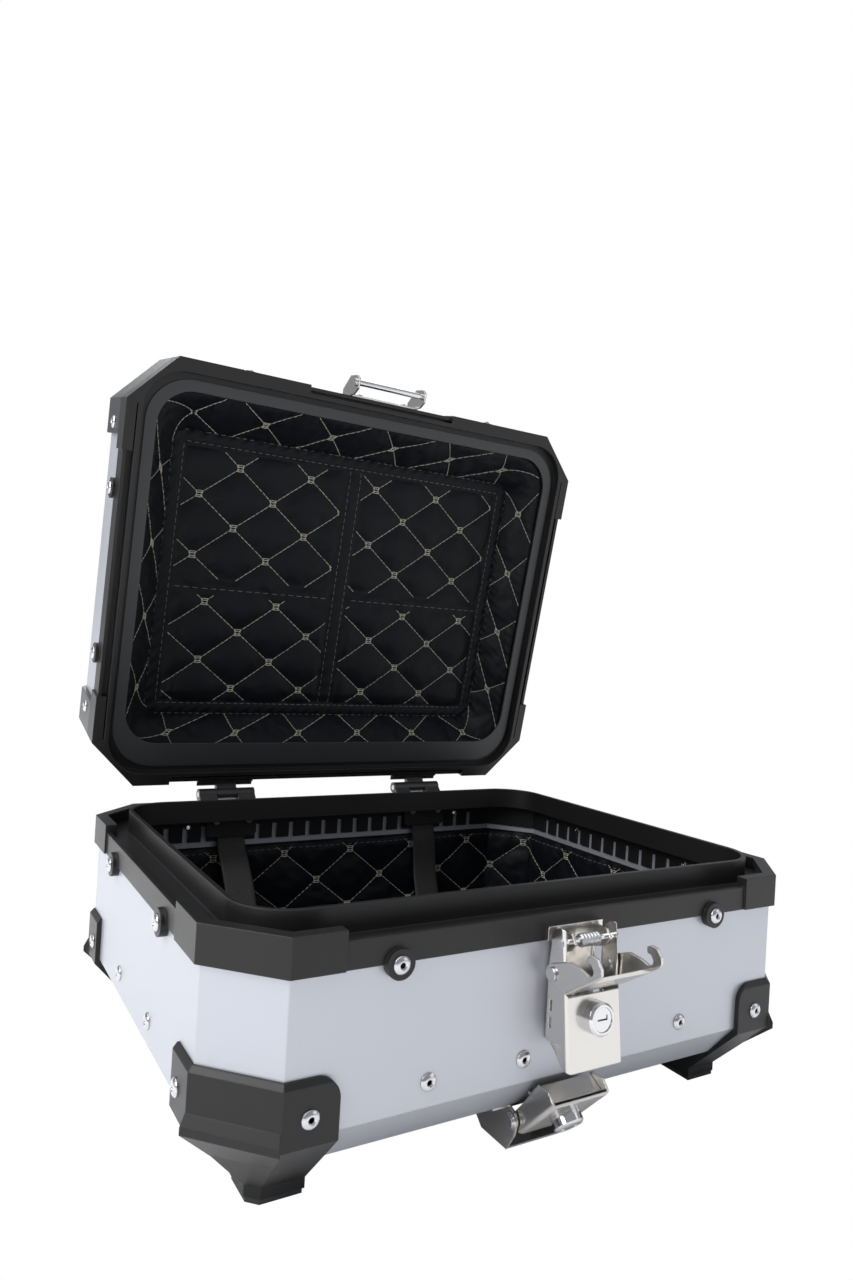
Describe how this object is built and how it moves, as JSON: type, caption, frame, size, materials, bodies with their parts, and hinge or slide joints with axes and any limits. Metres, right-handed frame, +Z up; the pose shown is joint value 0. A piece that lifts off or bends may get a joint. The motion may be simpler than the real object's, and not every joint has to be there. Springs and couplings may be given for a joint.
{
  "type": "motorcycle top case",
  "caption": "Aluminium motorcycle top case with black corner guards, quilted lining, hinged lid and a latch.",
  "frame": {"origin": "centre of the plane that the four feet stand on", "axes": "+X along the front to the right, +Y to the back where the hinges are, +Z up"},
  "size_m": [0.4374, 0.4838, 0.5266],
  "materials": {
    "aluminium_sheet": "satin anodised",
    "rim_plastic": "textured",
    "stainless": "satin",
    "polished_steel": "polished",
    "rivet_metal": "bright",
    "lining": "quilted leatherette",
    "webbing": "woven",
    "buckle_plastic": "moulded",
    "foot_rubber": "moulded",
    "hinge_metal": "black powder coat"
  },
  "bodies": {
    "case": {"case_liner_floor": "lining", "case_liner_walls": "lining", "case_rim": "rim_plastic", "case_shell": "aluminium_sheet", "corner_shoe_front_left": "rim_plastic", "corner_shoe_front_right": "rim_plastic", "corner_shoe_rear_left": "rim_plastic", "corner_shoe_rear_right": "rim_plastic", "foot_pads": "foot_rubber", "hinge_bolts_case": "stainless", "hinge_case_leaf_left": "hinge_metal", "hinge_case_leaf_right": "hinge_metal", "hinge_clamp_left": "hinge_metal", "hinge_clamp_right": "hinge_metal", "hinge_pins": "stainless", "hook_bolts": "stainless", "latch_bracket": "stainless", "latch_bracket_rivets": "rivet_metal", "latch_pin": "polished_steel", "latch_spring": "stainless", "mount_bracket": "stainless", "mount_bracket_rivets": "rivet_metal", "mount_pin": "polished_steel", "rear_hook_left": "hinge_metal", "rear_hook_right": "hinge_metal", "rim_rivets": "rivet_metal", "shell_rivets": "rivet_metal", "shoe_rivets": "rivet_metal", "strap_buckle_left": "buckle_plastic", "strap_buckle_right": "buckle_plastic", "strap_left": "webbing", "strap_right": "webbing"},
    "latch_lever": {"latch_lever": "stainless", "latch_barrel": "polished_steel", "claw_rivets": "rivet_metal"},
    "latch_claw": {"latch_claw": "stainless"},
    "latch_key": {"latch_plug": "polished_steel", "latch_cam": "stainless"},
    "mount_lever": {"mount_lever": "stainless", "mount_barrel": "polished_steel", "mount_jaw": "stainless"},
    "mount_key": {"mount_plug": "polished_steel"},
    "lid": {"catch_bracket": "stainless", "catch_pin": "polished_steel", "catch_rivets": "rivet_metal", "hinge_bolts_lid": "stainless", "hinge_lid_leaf_left": "hinge_metal", "hinge_lid_leaf_right": "hinge_metal", "lid_guard_front_left": "rim_plastic", "lid_guard_front_right": "rim_plastic", "lid_guard_rear_left": "rim_plastic", "lid_guard_rear_right": "rim_plastic", "lid_guard_rivets": "rivet_metal", "lid_liner_panel": "lining", "lid_liner_sides": "lining", "lid_rim": "rim_plastic", "lid_rim_rivets": "rivet_metal", "lid_seal": "foot_rubber", "lid_shell": "aluminium_sheet"}
  },
  "joints": [
    {"name": "lid_hinge", "type": "hinge", "parent": "case", "child": "lid", "pos_m": [0, 0.186, 0.1573], "axis": [-1, 0, 0], "range_deg": [-78.2, 17]},
    {"name": "lever_swing", "type": "hinge", "parent": "case", "child": "latch_lever", "pos_m": [0, -0.186, 0.135], "axis": [-1, 0, 0], "range_deg": [0, 95]},
    {"name": "claw_swing", "type": "hinge", "parent": "latch_lever", "child": "latch_claw", "pos_m": [0, -0.183, 0.117], "axis": [1, 0, 0], "range_deg": [-64, 0]},
    {"name": "latch_key_turn", "type": "hinge", "parent": "latch_lever", "child": "latch_key", "pos_m": [0, -0.195, 0.09378], "axis": [0, -0.9922, 0.1249], "range_deg": [0, 90]},
    {"name": "mount_lever_swing", "type": "hinge", "parent": "case", "child": "mount_lever", "pos_m": [0, -0.1538, 0.0198], "axis": [1, 0, 0], "range_deg": [0, 45]},
    {"name": "mount_key_turn", "type": "hinge", "parent": "mount_lever", "child": "mount_key", "pos_m": [0, -0.17426, 0.02834], "axis": [0, -0.7083, -0.7059], "range_deg": [0, 90]}
  ]
}
